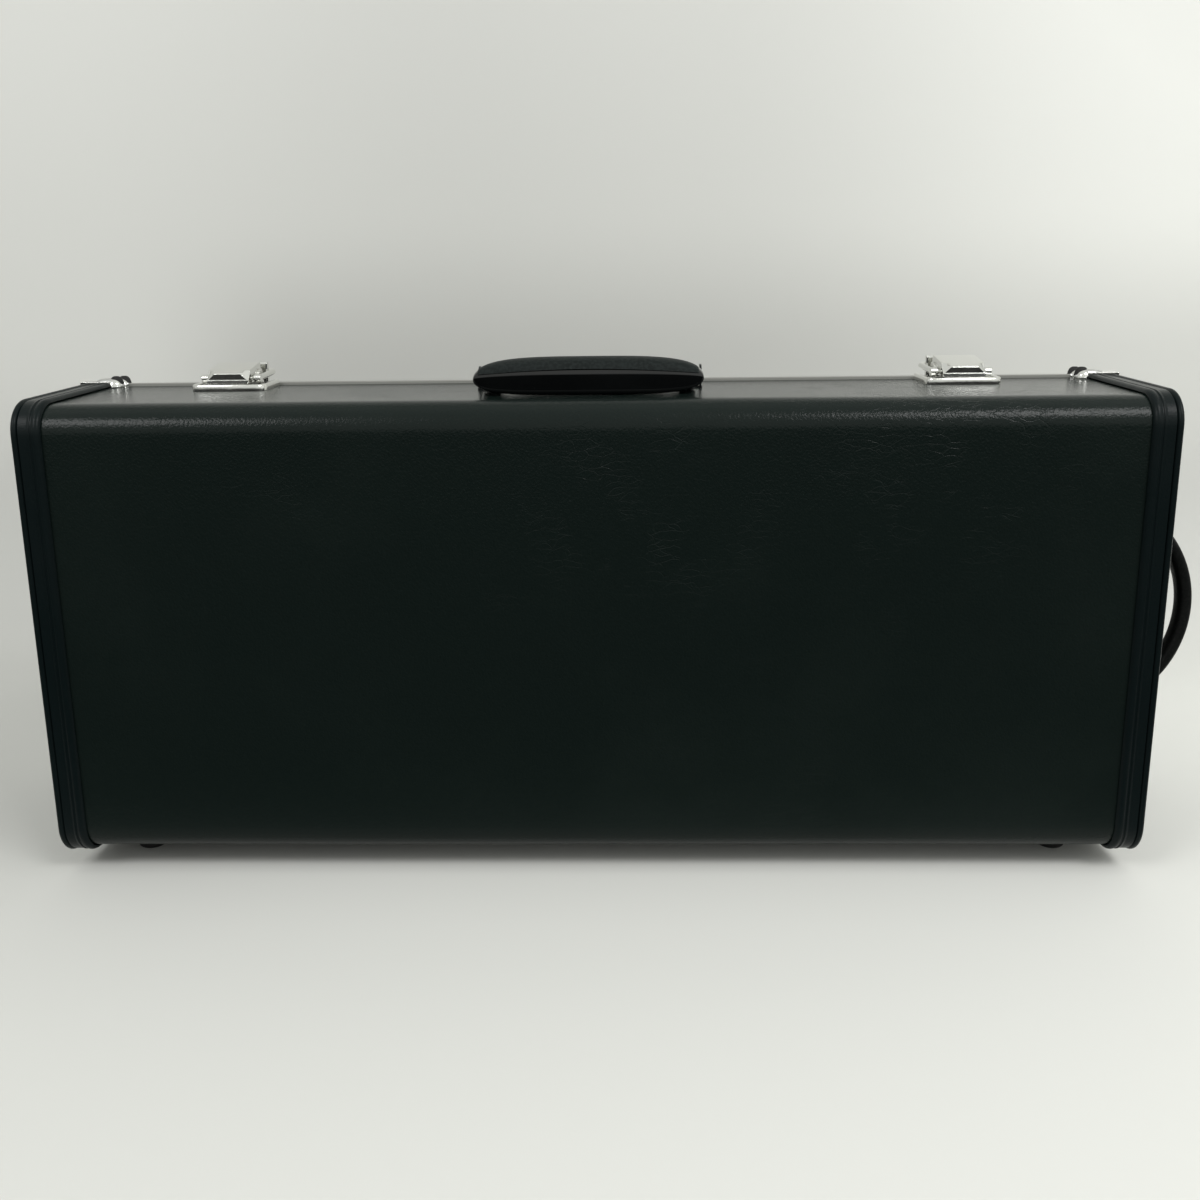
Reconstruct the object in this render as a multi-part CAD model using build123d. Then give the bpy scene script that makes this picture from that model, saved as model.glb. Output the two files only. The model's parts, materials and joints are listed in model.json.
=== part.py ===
from build123d import *
import math
import os

# Hard case for an alto saxophone, standing closed on its hinge side.
# X runs along the length, Y from the base half (-Y) to the lid (+Y), Z up; the parting plane is Y = 0.
# Lengths are millimetres, angles are degrees.

# Shells
case_length = 640.0
seam_height = 280.0
base_depth = 98.0
lid_depth = 84.0
draft_angle = 5.0
edge_radius = 17.0
wall = 5.0
board = 6.0
board_setback = 2.0
seam_gap = 0.6

# Feet on the hinge side
foot_height = 11.3
foot_from_seam = 55.0
foot_radius = 8.5
foot_edge = 3.0
foot_from_end = 36.0

# Leather binding round each end
binding_width = 16.4
binding_lip_width = 5.2
binding_height = 2.9
binding_strip_drop = 0.5
binding_valley = 2.0
binding_ridge = (0.4, 1.2, 1.6)
piping_width = 3.4
piping_wrap = 1.4
piping_edge = 0.8

# Welt on the lid's edge along the seam
welt_height = 2.2
welt_width = 4.2
welt_clearance = 1.0

# Chrome clips where the bindings end at the seam
clip_length = 25.0
clip_width = 10.2
clip_sheet = 0.9
clip_drop = 9.0
clip_ramp = 1.6
clip_setback_at_hinge = 2.6
dome_radius = 5.0
dome_height = 5.6
dome_inset = 5.2

# Hinges on the outside of the hinge side
hinge_from_end = 130.0
hinge_width = 42.0
hinge_leaf = 15.0
hinge_sheet = 1.2
knuckle_radius = 2.3
knuckle_count = 5
knuckle_gap = 0.3
hinge_pin_radius = 1.2
pin_clearance = 0.07

# Draw latches
latch_from_end = 99.0
latch_width = 43.5
latch_front = 32.0
latch_back = 1.2
latch_corner = 5.0
latch_floor = 1.3
latch_rim = 1.8
latch_rim_height = 3.6
lever_width = 24.6
lever_sheet = 1.2
lever_height = 14.8
lever_front = 31.0
lever_back = 4.6
lever_pivot_back = 9.0
lever_pivot_height = 7.0
lever_gap = 0.4
lever_skirt = 4.4
lever_round = 1.0
lever_corner_length = 9.5
lever_corner_width = 4.5
ear_sheet = 1.1
ear_radius = 4.2
latch_pin_radius = 1.2
bail_pivot_back = 22.0
bail_pivot_height = 6.5
bail_reach = 32.8
bail_rise = 1.1
bail_wire = 1.9
bail_eye_radius = 2.6
bail_clearance = 0.75
catch_width = 27.6
catch_length = 19.0
catch_sheet = 1.4
catch_height = 14.2
catch_wall = 4.3
catch_edge = 1.2
catch_corner = 0.8
catch_rivet_spacing = 16.0
rivet_radius = 2.0
rivet_height = 1.0
rivet_from_front = 6.0
rivet_from_back = 4.0

# Lever's free end, measured back from its front: heights above the case, then drops from its top
lever_nose = ((0.5, 4.4), (0.0, 6.2), (1.0, 6.6))
lever_crest = ((4.2, 4.2), (5.5, 2.6), (10.0, 0.4))

# Carrying handle, folded down
handle_x = -2.0
handle_length = 134.0
handle_depth = 23.0
handle_top = 20.8
handle_top_end = 9.8
handle_bottom = 0.6
handle_bottom_end = 8.2
handle_centre_back = 58.0
handle_pivot_back = 27.0
handle_pivot_height = 8.5
handle_pad_line = 14.0
handle_pad_line_end = 11.5
handle_pad_share = 0.88
arm_width = 10.0
arm_thickness = 8.0
arm_spacing = 120.0
arm_eye_radius = 5.0
arm_root = 7.0
arm_root_corner = 2.0
arm_root_length = 10.0
arm_web_length = 16.0
bracket_sheet = 1.4
bracket_gap = 0.4
bracket_length = 20.0
bracket_radius = 4.6
bracket_screw_radius = 1.9
bracket_screw_height = 1.1
bracket_screw_inset = 2.4
handle_pin_radius = 1.5

# Leather handle on the right-hand end
side_handle_rise = 5.5
side_handle_reach = 40.5
side_handle_half_span = 58.0
side_strap_width = 11.0
side_strap_thickness = 8.0
side_tab_length = 24.0
side_tab_width = 17.0
side_tab_thickness = 3.0
side_tab_corner = 5.0
side_tab_overlap = 4.0
side_strap_sink = 2.0
side_cap_sheet = 1.0
side_cap_margin = 1.5
side_cap_from_strap = 5.0
side_screw_radius = 3.2
side_screw_height = 1.6
side_screw_offset = 3.5

# Inside the base half
fit = 0.3
floor_pad = 8.0
block_top = 14.0
end_block = 26.0
body_axis_height = 81.5
body_pocket_half = 38.0
bow_from_end = 107.0
bow_drop = 4.5
bow_radius = 95.0
bell_length = 233.0
bell_above_body = 45.0
bell_from_top = 24.5
rim_block = 24.0
divider = 14.0
divider_end = 21.0
divider_bow_end = 31.0
bolster_rise = 12.0
compartment_height = 70.5
compartment_wall = 8.0
compartment_length = 136.0
valance_sheet = 2.4
valance_rise = 6.5
valance_root = 13.0
valance_corner = 4.0
flap_sheet = 4.0
flap_height = 58.0
tape_sheet = 0.8
tape_width = 14.0
tape_inset = 5.0
flap_corner_radius = 4.0
tab_width = 18.0
tab_sheet = 1.0
tab_length = 14.0

# Inside the lid
lid_pad = 12.0
bolster_reach = 18.0
bolster_round = 12.0
body_bolster_ends = (15.0, 52.0)
body_bolster_sides = (16.0, 20.0)
bell_bolster_ends = (45.0, 18.0)
bell_bolster_sides = (39.0, 36.0)

# Places worked out from the sizes
slope = math.tan(math.radians(draft_angle))
draft_cos = math.cos(math.radians(draft_angle))
draft_sin = math.sin(math.radians(draft_angle))
low_z = foot_height - foot_from_seam * slope
top_z = low_z + seam_height
mid_z = (low_z + top_z) / 2
board_outer_x = case_length / 2 - board_setback
shell_end_x = board_outer_x - board
binding_x = case_length / 2 - binding_width
hinge_x = case_length / 2 - hinge_from_end
hinge_z = low_z - welt_height - 0.4
latch_x = case_length / 2 - latch_from_end
bail_x = lever_width / 2 + lever_gap + ear_sheet + lever_gap + bail_wire
side_handle_z = mid_z + side_handle_rise
pad_front_y = -(base_depth - wall - floor_pad)
body_axis_z = low_z + body_axis_height
bow_centre_x = bow_from_end - shell_end_x
bow_centre_z = mid_z - bow_drop
bell_end_x = bow_centre_x + bell_length
bell_low_z = body_axis_z + bell_above_body
bell_high_z = top_z - bell_from_top
compartment_z = top_z - compartment_height
compartment_split_x = shell_end_x - compartment_length

os.makedirs("parts", exist_ok=True)


def save(shape, node):
    export_step(shape, f"parts/{node}.step")


def group(shapes):
    return Compound(children=list(shapes))


def solids_of(shapes):
    return group([solid for shape in shapes for solid in shape.solids()])


# The lid is drawn on the base's side of the parting plane and mirrored across it

def to_lid(shape):
    return mirror(shape, about=Plane.XZ)


def to_left(shape):
    return mirror(shape, about=Plane.YZ)


def to_hinge_side(shape):
    return mirror(shape, about=Plane.XY.offset(mid_z))


# Outline of one half across its length, with drafted long walls and a flat big face

def section_points(depth, inset, open_y):
    far = inset - depth
    top = top_z - inset / draft_cos
    low = low_z + inset / draft_cos
    return [(open_y, top + open_y * slope), (far, top + far * slope),
            (far, low - far * slope), (open_y, low - open_y * slope)]


def half_block(depth, inset, x_from, x_to, open_y=-seam_gap / 2):
    outline = make_face(Polyline(*section_points(depth, inset, open_y), close=True))
    far_corners = outline.vertices().sort_by(Axis.X)[:2]
    outline = fillet(far_corners, max(edge_radius - inset, 1.0))
    return extrude(Plane.YZ.offset(x_from) * outline, x_to - x_from)


def shell(depth):
    outer = half_block(depth, 0.0, -shell_end_x, shell_end_x)
    inner = half_block(depth, wall, -shell_end_x, shell_end_x, open_y=wall)
    return outer - inner


def end_board(depth):
    return half_block(depth, 0.0, shell_end_x, board_outer_x)


# Binding: a lip, a flat strip and an outer piping, carried round the end of one half

def binding_profile():
    inner = binding_x
    outer = case_length / 2
    lip_end = inner + binding_lip_width
    strip = binding_height - binding_strip_drop
    groove = outer - piping_width
    rise, crest, fall = (lip_end + step for step in binding_ridge)
    lip_top = (inner + binding_lip_width * 0.45, binding_height)
    lip = ThreePointArc((inner, 0), lip_top, (lip_end, binding_valley))
    strip_line = Polyline((lip_end, binding_valley), (rise, binding_height), (crest, binding_height),
                          (fall, strip), (groove - binding_ridge[0], strip), (groove, strip / 2))
    bead_top = (outer - piping_width / 2, binding_height)
    bead = ThreePointArc((groove, strip / 2), bead_top, (outer, piping_edge))
    wrap = Polyline((outer, piping_edge), (outer, -piping_wrap), (board_outer_x, -piping_wrap),
                    (board_outer_x, 0), (inner, 0))
    return make_face([lip, strip_line, bead, wrap])


def binding(depth):
    points = section_points(depth, 0.0, -seam_gap / 2)
    path = Plane.YZ * FilletPolyline(*points, radius=edge_radius)
    start = Plane(origin=(0, *points[0]), x_dir=(1, 0, 0), z_dir=(0, -draft_cos, -draft_sin))
    return sweep(start * binding_profile(), path=path)


# Planes on the sloping handle side: x along the case, v up the slope to the seam, w out of it

def top_plane(x=0.0, tilt=1.0):
    return Plane(origin=(x, 0, top_z), x_dir=(1, 0, 0), z_dir=(0, -draft_sin * tilt, draft_cos))


def side_plane(x=0.0, tilt=1.0):
    return Plane(origin=(x, 0, top_z), x_dir=(0, draft_cos, draft_sin * tilt), z_dir=(1, 0, 0))


def prism(points, x_from, x_to):
    return extrude(side_plane(x_from) * make_face(Polyline(*points, close=True)), x_to - x_from)


def rod(v, w, radius, x_from, x_to):
    return extrude(side_plane(x_from) * (Pos(v, w) * Circle(radius)), x_to - x_from)


def plate(sketch, x, w_from, w_to):
    return extrude(top_plane(x) * (Pos(0, 0, w_from) * sketch), w_to - w_from)


def rectangle(x_from, x_to, v_from, v_to):
    centre = Pos((x_from + x_to) / 2, (v_from + v_to) / 2)
    return centre * Rectangle(x_to - x_from, v_to - v_from)


# Clip: a stamped tongue over the binding's end, with a dome at its inner end on the handle side only,
# because on the hinge side a dome would meet its neighbour when the lid opens

def clip_tongue(depth, setback):
    outer = case_length / 2 + clip_sheet
    inner = outer - clip_length
    over = binding_height + clip_sheet
    back = -seam_gap / 2 - setback
    step = binding_x - clip_sheet
    points = [(inner, 0), (inner, clip_sheet), (step - clip_ramp, clip_sheet), (step, over),
              (outer, over), (outer, -clip_drop), (board_outer_x, -clip_drop), (board_outer_x, 0)]
    sheet_plane = Plane(origin=(0, back, top_z + back * slope), x_dir=(1, 0, 0),
                        z_dir=(0, -draft_cos, -draft_sin))
    sheet = extrude(sheet_plane * make_face(Polyline(*points, close=True)), clip_width)
    round_end = Pos(inner + clip_width / 2, back - clip_width / 2) * Circle(clip_width / 2)
    plan = round_end + rectangle(inner + clip_width / 2, outer, back - clip_width, back)
    return sheet & plate(plan, 0, -clip_drop, over)


def clip_dome(depth):
    inner = case_length / 2 + clip_sheet - clip_length
    place = Pos(inner + dome_inset, -(seam_gap + clip_width) / 2, dome_height - dome_radius)
    return (top_plane() * place * Sphere(dome_radius)) - half_block(depth, 0.0, 0, case_length)


def clips(depth):
    own_side = Pos(case_length / 2, -clip_width - seam_gap / 2, top_z)
    own_side *= Box(4 * clip_length, 2 * clip_width, 4 * clip_drop)
    edge = binding(depth)
    domed = (clip_tongue(depth, 0.0) + clip_dome(depth) - edge) & own_side
    plain = to_hinge_side((clip_tongue(depth, clip_setback_at_hinge) - edge) & own_side)
    return solids_of([domed, plain, to_left(domed), to_left(plain)])


# Lid welt along the seam, cut away for the hinges and the latch catches

def welt():
    front = -seam_gap / 2
    back = front - welt_width
    profile = make_face([Line((front, 0), (front, welt_height * 0.6)),
                         ThreePointArc((front, welt_height * 0.6), ((front + back) / 2, welt_height),
                                       (back, welt_height * 0.3)),
                         Polyline((back, welt_height * 0.3), (back, 0), (front, 0))])
    end = case_length / 2 + clip_sheet - clip_length - 0.3
    return extrude(side_plane(-end) * profile, 2 * end)


def welt_notch(x, width):
    return Pos(x, -welt_width / 2, top_z) * Box(width, welt_width * 2, 6 * welt_height)


def lid_welt():
    catch_notches = [welt_notch(side * latch_x, catch_width + welt_clearance) for side in (-1, 1)]
    hinge_notches = [welt_notch(side * hinge_x, hinge_width + welt_clearance) for side in (-1, 1)]
    top = welt() - catch_notches
    low = to_hinge_side(welt() - hinge_notches)
    return solids_of([to_lid(top), to_lid(low)])


# Feet: round rubber studs cut to the slope that they stand out from

def feet(depth):
    studs = []
    for side in (-1, 1):
        place = Pos(side * (case_length / 2 - foot_from_end), -foot_from_seam, foot_height)
        stud = place * Cylinder(foot_radius, 2 * foot_height)
        stud = fillet(stud.edges().sort_by(Axis.Z)[0], foot_edge)
        studs.append(stud - half_block(depth, 0.0, -case_length / 2, case_length / 2))
    return solids_of(studs)


# Hinges: two leaves with interleaved knuckles on one pin, lying against the drafted walls

def leaf_points():
    root = -seam_gap / 2 - 0.1
    tip = root - hinge_leaf
    return [(root, low_z - root * slope), (tip, low_z - tip * slope),
            (tip, low_z - tip * slope - hinge_sheet), (root, low_z - root * slope - hinge_sheet)]


def knuckle(index, radius, gap):
    pitch = hinge_width / knuckle_count
    x_from = -hinge_width / 2 + index * pitch + gap / 2
    return extrude(Plane.YZ.offset(x_from) * (Pos(0, hinge_z) * Circle(radius)), pitch - gap)


def hinge_half(own, other, bore_radius):
    outline = make_face(Polyline(*leaf_points(), close=True))
    leaf = extrude(Plane.YZ.offset(-hinge_width / 2) * outline, hinge_width)
    for index in other:
        leaf -= knuckle(index, knuckle_radius + knuckle_gap, -knuckle_gap)
    for index in own:
        leaf += knuckle(index, knuckle_radius, knuckle_gap)
    bore = extrude(Plane.YZ.offset(-hinge_width) * (Pos(0, hinge_z) * Circle(bore_radius)), 2 * hinge_width)
    return leaf - bore


def at_hinges(shape):
    return solids_of([Pos(side * hinge_x, 0, 0) * shape for side in (-1, 1)])


def base_leaves():
    even, odd = range(0, knuckle_count, 2), range(1, knuckle_count, 2)
    return at_hinges(hinge_half(even, odd, hinge_pin_radius))


def lid_leaves():
    even, odd = range(0, knuckle_count, 2), range(1, knuckle_count, 2)
    return at_hinges(to_lid(hinge_half(odd, even, hinge_pin_radius + pin_clearance)))


def hinge_pins():
    length = hinge_width - knuckle_gap
    pin = extrude(Plane.YZ.offset(-length / 2) * (Pos(0, hinge_z) * Circle(hinge_pin_radius)), length)
    return at_hinges(pin)


# Latch base: a stamped tray with a raised rim and two ears for the lever's pin

def latch_outline(inset):
    width = latch_width - 2 * inset
    length = latch_front - latch_back - 2 * inset
    centre = Pos(0, -(latch_front + latch_back) / 2)
    return centre * RectangleRounded(width, length, latch_corner - inset)


def latch_base():
    tray = plate(latch_outline(0.0), 0, 0, latch_rim_height)
    hollow = latch_outline(latch_rim)
    floor_edge = latch_width / 2 - latch_rim
    hollow += rectangle(-floor_edge, floor_edge, -latch_front / 2, 1)
    tray -= plate(hollow, 0, latch_floor, latch_rim_height + 1)
    for side in (-1, 1):
        inner = side * (lever_width / 2 + lever_gap)
        outer = inner + side * ear_sheet
        x_from, x_to = min(inner, outer), max(inner, outer)
        foot = [(-lever_pivot_back - ear_radius, latch_floor), (-lever_pivot_back + ear_radius, latch_floor),
                (-lever_pivot_back + ear_radius, lever_pivot_height),
                (-lever_pivot_back - ear_radius, lever_pivot_height)]
        tray += prism(foot, x_from, x_to)
        tray += rod(-lever_pivot_back, lever_pivot_height, ear_radius, x_from, x_to)
    reach = latch_width / 2
    return tray - rod(-lever_pivot_back, lever_pivot_height, latch_pin_radius, -reach, reach)


def latch_rivets():
    rivets = []
    for side in (-1, 1):
        for v in (rivet_from_front - latch_front, -latch_back - rivet_from_back):
            from_middle = latch_width / 2 - latch_rim - rivet_radius - lever_gap
            head = Pos(side * from_middle, v) * Circle(rivet_radius)
            rivets.append(plate(head, 0, latch_floor, latch_floor + rivet_height))
    return rivets


# Lever: a hollow stamping with two facets at its free end and sloping front corners

def lever_points(sheet):
    front = sheet - lever_front
    back = -lever_back - sheet
    top = lever_height - sheet
    nose = [(front + along, height) for along, height in lever_nose]
    crest = [(front + along, top - drop) for along, drop in lever_crest]
    return nose + crest + [(back - lever_round, top), (back, top - lever_round), (back, lever_skirt)]


def lever_solid(sheet):
    half = lever_width / 2 - sheet
    solid = prism(lever_points(sheet), -half, half)
    front = -lever_front - 1
    for side in (-1, 1):
        corner = Polyline((side * half, lever_corner_length - lever_front), (side * half, front),
                          (side * (half - lever_corner_width), front), close=True)
        solid -= plate(make_face(corner), 0, 0, lever_height + 1)
    return solid


def lever():
    reach = lever_width / 2 + 1
    bore = latch_pin_radius + pin_clearance
    shape = lever_solid(0.0) - lever_solid(lever_sheet)
    shape -= rod(-lever_pivot_back, lever_pivot_height, bore, -reach, reach)
    return shape - rod(-bail_pivot_back, bail_pivot_height, bore, -reach, reach)


def lever_pin():
    half = lever_width / 2 + lever_gap + ear_sheet
    return rod(-lever_pivot_back, lever_pivot_height, latch_pin_radius, -half, half)


# Bail: a wire loop hung on the lever by its turned-in ends and drawn behind the lid's catch

def bail():
    start = (-bail_x, -bail_pivot_back)
    end = (bail_x, -bail_pivot_back)
    far = -bail_pivot_back + math.hypot(bail_reach, bail_rise)
    loop = FilletPolyline(start, (-bail_x, far), (bail_x, far), end, radius=4.0)
    rise_angle = math.degrees(math.atan2(bail_rise, bail_reach))
    seat = top_plane() * Pos(0, -bail_pivot_back, bail_pivot_height) * Rot(rise_angle, 0, 0)
    seat *= Pos(0, bail_pivot_back, 0)
    section = Plane(origin=(-bail_x, -bail_pivot_back, 0), z_dir=(0, 1, 0)) * Circle(bail_wire)
    shape = seat * sweep(section, path=loop)
    inner = lever_width / 2 - lever_sheet - 0.2
    for side in (-1, 1):
        x_from, x_to = sorted((side * inner, side * bail_x))
        shape += rod(-bail_pivot_back, bail_pivot_height, latch_pin_radius, x_from, x_to)
        shape += rod(-bail_pivot_back, bail_pivot_height, bail_eye_radius,
                     side * bail_x - bail_wire, side * bail_x + bail_wire)
    return shape


def bail_bar_place():
    v = -bail_pivot_back + bail_reach
    w = bail_pivot_height + bail_rise
    return v * draft_cos - w * draft_sin, top_z + v * draft_sin + w * draft_cos


# Catch on the lid: a riveted plate with an upright box that the bail's bar pulls against

def catch():
    bar_y, bar_z = bail_bar_place()
    back = bar_y - bail_wire - bail_clearance
    front = back - catch_wall
    low = top_z + 1.0 - back * slope
    high = top_z + catch_height
    points = [(front, low), (front, high - catch_edge), (front + catch_edge, high), (back - catch_edge, high),
              (back, high - catch_edge), (back, low)]
    outline = make_face(Polyline(*points, close=True))
    upright = extrude(Plane.YZ.offset(-catch_width / 2) * outline, catch_width)
    upright = chamfer(upright.edges().filter_by(Axis.Z), catch_corner)
    foot = rectangle(-catch_width / 2, catch_width / 2, latch_back, latch_back + catch_length)
    base = extrude(top_plane(tilt=-1.0) * foot, catch_sheet)
    return upright + base


def catch_rivets():
    head = Pos(0, latch_back + catch_length - rivet_from_back, catch_sheet) * Circle(rivet_radius)
    places = [top_plane(side * catch_rivet_spacing / 2, tilt=-1.0) for side in (-1, 1)]
    return [extrude(place * head, rivet_height) for place in places]


# Carrying handle: a lens-shaped grip with a textured pad on top and two arms back to its pivots

def grip_height(u, middle, end, power):
    share = 1 - abs(2 * u / handle_length) ** power
    return end + (middle - end) * math.sqrt(share)


def grip_section(u):
    high = grip_height(u, handle_top, handle_top_end, 3)
    low = grip_height(u, handle_bottom, handle_bottom_end, 5)
    height = high - low
    depth = handle_depth * (0.55 + 0.45 * math.sqrt(1 - abs(2 * u / handle_length) ** 4))
    outline = RectangleRounded(depth, height, 0.36 * height)
    centre = Pos(-handle_centre_back, (high + low) / 2)
    return side_plane(handle_x + u) * (centre * outline)


def grip():
    half = handle_length / 2
    shares = (-0.985, -0.93, -0.8, -0.55, -0.25, 0, 0.25, 0.55, 0.8, 0.93, 0.985)
    return loft([grip_section(half * share) for share in shares])


def pad_region():
    half = handle_pad_share * handle_length / 2
    high = handle_top + handle_pad_line
    front = Plane(origin=(handle_x, 0, top_z), x_dir=(1, 0, 0), z_dir=(0, -draft_cos, -draft_sin))
    line = ThreePointArc((-half, handle_pad_line_end), (0, handle_pad_line), (half, handle_pad_line_end))
    cap = Polyline((half, handle_pad_line_end), (half, high), (-half, high), (-half, handle_pad_line_end))
    return extrude(front * make_face([line, cap]), 2 * handle_centre_back)


def handle_arm(side):
    low = handle_pivot_height - arm_thickness / 2
    outer = side * (arm_spacing + arm_width) / 2
    inner = side * (arm_spacing - arm_width) / 2
    root = -handle_centre_back
    outline = make_face(Polyline((inner - side * arm_root, root), (outer - side * arm_root_corner, root),
                                 (outer, root + arm_root_length), (outer, -handle_pivot_back),
                                 (inner, -handle_pivot_back), (inner, root + arm_web_length), close=True))
    arm = plate(outline, handle_x, low, low + arm_thickness)
    x_from, x_to = sorted((handle_x + inner, handle_x + outer))
    return arm + rod(-handle_pivot_back, handle_pivot_height, arm_eye_radius, x_from, x_to)


def handle_body():
    shape = grip() - pad_region()
    for side in (-1, 1):
        shape += handle_arm(side)
    shape -= handle_pad()
    reach = case_length / 4
    bore = handle_pin_radius + pin_clearance
    return shape - rod(-handle_pivot_back, handle_pivot_height, bore, -reach, reach)


def handle_pad():
    return grip() & pad_region()


def handle_bracket(side):
    centre = handle_x + side * arm_spacing / 2
    half = arm_width / 2 + bracket_gap + bracket_sheet
    front = -handle_pivot_back - bracket_length / 2
    shape = plate(rectangle(-half, half, front, front + bracket_length), centre, 0, bracket_sheet)
    for edge in (-1, 1):
        x_from, x_to = sorted((centre + edge * (half - bracket_sheet), centre + edge * half))
        foot = [(-handle_pivot_back - bracket_radius, 0), (-handle_pivot_back + bracket_radius, 0),
                (-handle_pivot_back + bracket_radius, handle_pivot_height),
                (-handle_pivot_back - bracket_radius, handle_pivot_height)]
        shape += prism(foot, x_from, x_to)
        shape += rod(-handle_pivot_back, handle_pivot_height, bracket_radius, x_from, x_to)
    return shape - handle_pin(side)


def handle_pin(side):
    centre = handle_x + side * arm_spacing / 2
    half = arm_width / 2 + bracket_gap + bracket_sheet
    return rod(-handle_pivot_back, handle_pivot_height, handle_pin_radius, centre - half, centre + half)


def bracket_screws(side):
    centre = handle_x + side * arm_spacing / 2
    head = Circle(bracket_screw_radius)
    top = bracket_sheet + bracket_screw_height
    places = [step * (bracket_length / 2 - bracket_screw_inset) - handle_pivot_back for step in (-1, 1)]
    return [plate(Pos(0, v) * head, centre, bracket_sheet, top) for v in places]


# Leather side handle: an arched strap with a flat tab under a cap at each end

def side_handle():
    y = -base_depth / 2
    x_end = board_outer_x + side_strap_thickness / 2 - side_strap_sink
    x_mid = board_outer_x + side_handle_reach - side_strap_thickness / 2
    arch = ThreePointArc((x_end, y, side_handle_z - side_handle_half_span), (x_mid, y, side_handle_z),
                         (x_end, y, side_handle_z + side_handle_half_span))
    section = Plane(origin=arch @ 0, x_dir=(0, 1, 0), z_dir=arch % 0)
    outline = RectangleRounded(side_strap_width, side_strap_thickness, side_strap_thickness * 0.42)
    strap = sweep(section * outline, path=arch)
    outside = Pos(board_outer_x + side_handle_reach, y, side_handle_z)
    strap = strap & (outside * Box(2 * side_handle_reach, base_depth, seam_height))
    for side in (-1, 1):
        strap += side_tab(side, 0.0, side_tab_thickness)
    return strap


def side_tab_centre(side):
    return side_handle_z + side * (side_handle_half_span + side_tab_length / 2 - side_tab_overlap)


def side_tab(side, x_from, thickness, grow=0.0):
    place = Plane(origin=(board_outer_x + x_from, -base_depth / 2, side_tab_centre(side)),
                  x_dir=(0, 1, 0), z_dir=(1, 0, 0))
    outline = RectangleRounded(side_tab_width + grow, side_tab_length + grow, side_tab_corner)
    return extrude(place * outline, thickness)


def side_caps():
    span = 2 * (side_handle_half_span + side_cap_from_strap)
    window = Pos(board_outer_x, -base_depth / 2, side_handle_z) * Box(base_depth / 2, base_depth, span)
    caps = [side_tab(side, side_tab_thickness, side_cap_sheet, -2 * side_cap_margin) for side in (-1, 1)]
    return solids_of([cap - window for cap in caps])


def side_screws():
    x = board_outer_x + side_tab_thickness + side_cap_sheet
    heads = []
    for side in (-1, 1):
        z = side_tab_centre(side) + side * side_screw_offset
        place = Plane(origin=(x, -base_depth / 2, z), x_dir=(0, 1, 0), z_dir=(1, 0, 0))
        heads.append(extrude(place * Circle(side_screw_radius), side_screw_height))
    return solids_of(heads)


# Blocks inside the base: outlines seen from the open side, carried down to the floor pad

def block(points):
    face_plane = Plane(origin=(0, -block_top, 0), x_dir=(1, 0, 0), z_dir=(0, -1, 0))
    depth = -pad_front_y - fit - block_top
    raw = extrude(face_plane * make_face(Polyline(*points, close=True)), depth)
    return raw & half_block(base_depth, wall + fit, -shell_end_x + fit, shell_end_x - fit)


def floor_pad_block():
    inside = half_block(base_depth, wall + fit, -shell_end_x + fit, shell_end_x - fit)
    slab = Pos(0, pad_front_y - floor_pad / 2, mid_z) * Box(case_length, floor_pad, seam_height)
    return inside & slab


def bow_end_block():
    left = -case_length / 2
    raw = block([(left, 0), (bow_centre_x - fit, 0), (bow_centre_x - fit, 2 * mid_z), (left, 2 * mid_z)])
    pocket = Plane(origin=(bow_centre_x, 0, bow_centre_z), x_dir=(1, 0, 0), z_dir=(0, -1, 0))
    return raw - extrude(pocket * Circle(bow_radius), base_depth)


def hinge_side_bolster():
    right = shell_end_x - end_block
    low_edge = bow_centre_z - bow_radius
    return block([(bow_centre_x, 0), (right - fit, 0), (right - fit, low_edge + bolster_rise),
                  (bow_centre_x, low_edge)])


def bell_side_bolster():
    high_edge = bow_centre_z + bow_radius
    return block([(bow_centre_x, high_edge), (bell_end_x, bell_high_z), (bell_end_x, 2 * mid_z),
                  (bow_centre_x, 2 * mid_z)])


def bell_rim_block():
    left = bell_end_x + fit
    return block([(left, bell_low_z + fit), (left + rim_block, bell_low_z + fit),
                  (left + rim_block, 2 * mid_z), (left, 2 * mid_z)])


def centre_divider():
    right = shell_end_x - fit
    low = body_axis_z + body_pocket_half
    return block([(bow_centre_x, low), (bell_end_x, bell_low_z - divider), (right, bell_low_z - divider_end),
                  (right, bell_low_z), (bell_end_x, bell_low_z), (bow_centre_x, low + divider_bow_end)])


def body_end_block():
    left = shell_end_x - end_block
    high = bell_low_z - divider_end - fit
    return block([(left, 0), (case_length / 2, 0), (case_length / 2, high), (left, high)])


def compartment_walls():
    left = bell_end_x + rim_block + 2 * fit
    right = case_length / 2
    long_top = compartment_z + compartment_wall
    long_wall = block([(left, compartment_z), (right, compartment_z), (right, long_top), (left, long_top)])
    cross_left = compartment_split_x
    cross_right = compartment_split_x + compartment_wall
    cross_wall = block([(cross_left, compartment_z), (cross_right, compartment_z),
                        (cross_right, 2 * mid_z), (cross_left, 2 * mid_z)])
    return long_wall + cross_wall


def base_valance():
    outer_x = shell_end_x - fit
    outer_z = top_z - wall / draft_cos - valance_root * slope - fit / 2
    inner_low = 2 * mid_z - outer_z
    plane = Plane(origin=(0, -valance_root + fit, 0), x_dir=(1, 0, 0), z_dir=(0, 1, 0))
    width, height = 2 * outer_x, outer_z - inner_low
    inner_corner = valance_corner - valance_sheet
    hole = RectangleRounded(width - 2 * valance_sheet, height - 2 * valance_sheet, inner_corner)
    ring = Pos(0, -mid_z) * (RectangleRounded(width, height, valance_corner) - hole)
    return extrude(plane * ring, valance_root - fit + valance_rise)


# Flap over the accessory compartment, hinged on the compartment's long wall

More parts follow.
